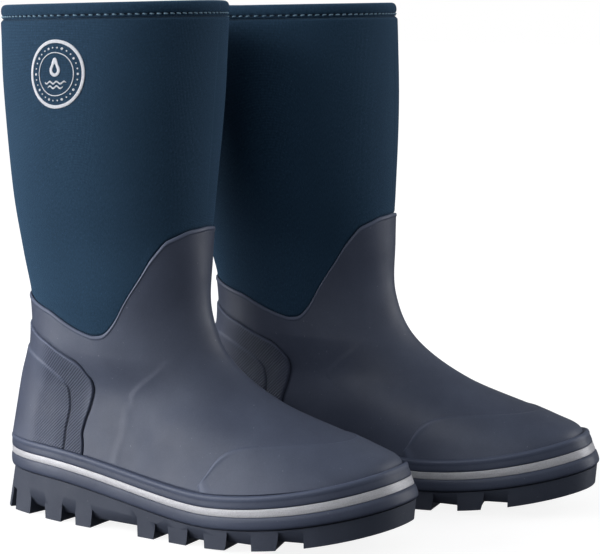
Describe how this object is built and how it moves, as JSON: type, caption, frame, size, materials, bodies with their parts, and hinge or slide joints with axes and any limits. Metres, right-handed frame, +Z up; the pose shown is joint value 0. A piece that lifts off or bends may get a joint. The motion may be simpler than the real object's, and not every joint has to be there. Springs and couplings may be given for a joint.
{
  "type": "pull-on rubber boots",
  "caption": "Pair of children's pull-on boots with a blue neoprene shaft, grey rubber galosh and chunky lugged sole.",
  "frame": {"origin": "on the floor, at the centre of the pair's bounding box", "axes": "+Z up, toes towards -Y, the wearer's right boot on the -X side"},
  "size_m": [0.1998, 0.2821, 0.2627],
  "materials": {
    "sole_rubber": "matt moulded rubber",
    "band_rubber": "satin moulded rubber",
    "galosh_rubber": "satin natural rubber",
    "midsole_foam": "foam rubber filler",
    "fibre_board": "pressed cellulose board",
    "reflective_tape": "silver grey retroreflective film",
    "neoprene": "jersey-faced neoprene",
    "neoprene_inner": "neoprene foam",
    "jersey_lining": "knitted jersey",
    "binding_tape": "rolled knitted tape",
    "seam_tape": "flat-lock thread seam",
    "thread": "polyester thread",
    "badge_print": "white transfer print",
    "insole_foam": "moulded foam",
    "insole_fabric": "felt top cover"
  },
  "bodies": {
    "right_boot": {"right_outsole": "sole_rubber", "right_midsole": "midsole_foam", "right_insole_board": "fibre_board", "right_sole_band": "band_rubber", "right_reflective_stripe": "reflective_tape", "right_galosh": "galosh_rubber", "right_toe_cap": "galosh_rubber", "right_heel_counter": "galosh_rubber", "right_neoprene_sock": "neoprene_inner", "right_neoprene_shaft": "neoprene", "right_lining": "jersey_lining", "right_top_binding": "binding_tape", "right_binding_stitching": "thread", "right_back_seam": "seam_tape", "right_badge": "badge_print"},
    "right_insole_lift": {"right_insole": "insole_foam", "right_insole_cover": "insole_fabric"},
    "left_boot": {"left_outsole": "sole_rubber", "left_midsole": "midsole_foam", "left_insole_board": "fibre_board", "left_sole_band": "band_rubber", "left_reflective_stripe": "reflective_tape", "left_galosh": "galosh_rubber", "left_toe_cap": "galosh_rubber", "left_heel_counter": "galosh_rubber", "left_neoprene_sock": "neoprene_inner", "left_neoprene_shaft": "neoprene", "left_lining": "jersey_lining", "left_top_binding": "binding_tape", "left_binding_stitching": "thread", "left_back_seam": "seam_tape", "left_badge": "badge_print"},
    "left_insole_lift": {"left_insole": "insole_foam", "left_insole_cover": "insole_fabric"}
  },
  "joints": [
    {"name": "left_boot_lift", "type": "slide", "parent": "right_boot", "child": "left_boot", "axis": [0, 0, 1], "range_m": [0, 0.3]},
    {"name": "right_insole_hinge", "type": "hinge", "parent": "right_boot", "child": "right_insole_lift", "pos_m": [-0.055, -0.068, 0.0259], "axis": [1, 0, 0], "range_deg": [0, 4]},
    {"name": "left_insole_hinge", "type": "hinge", "parent": "left_boot", "child": "left_insole_lift", "pos_m": [0.0602, -0.12105, 0.0259], "axis": [0.9954, 0.0958, 0], "range_deg": [0, 4]}
  ]
}
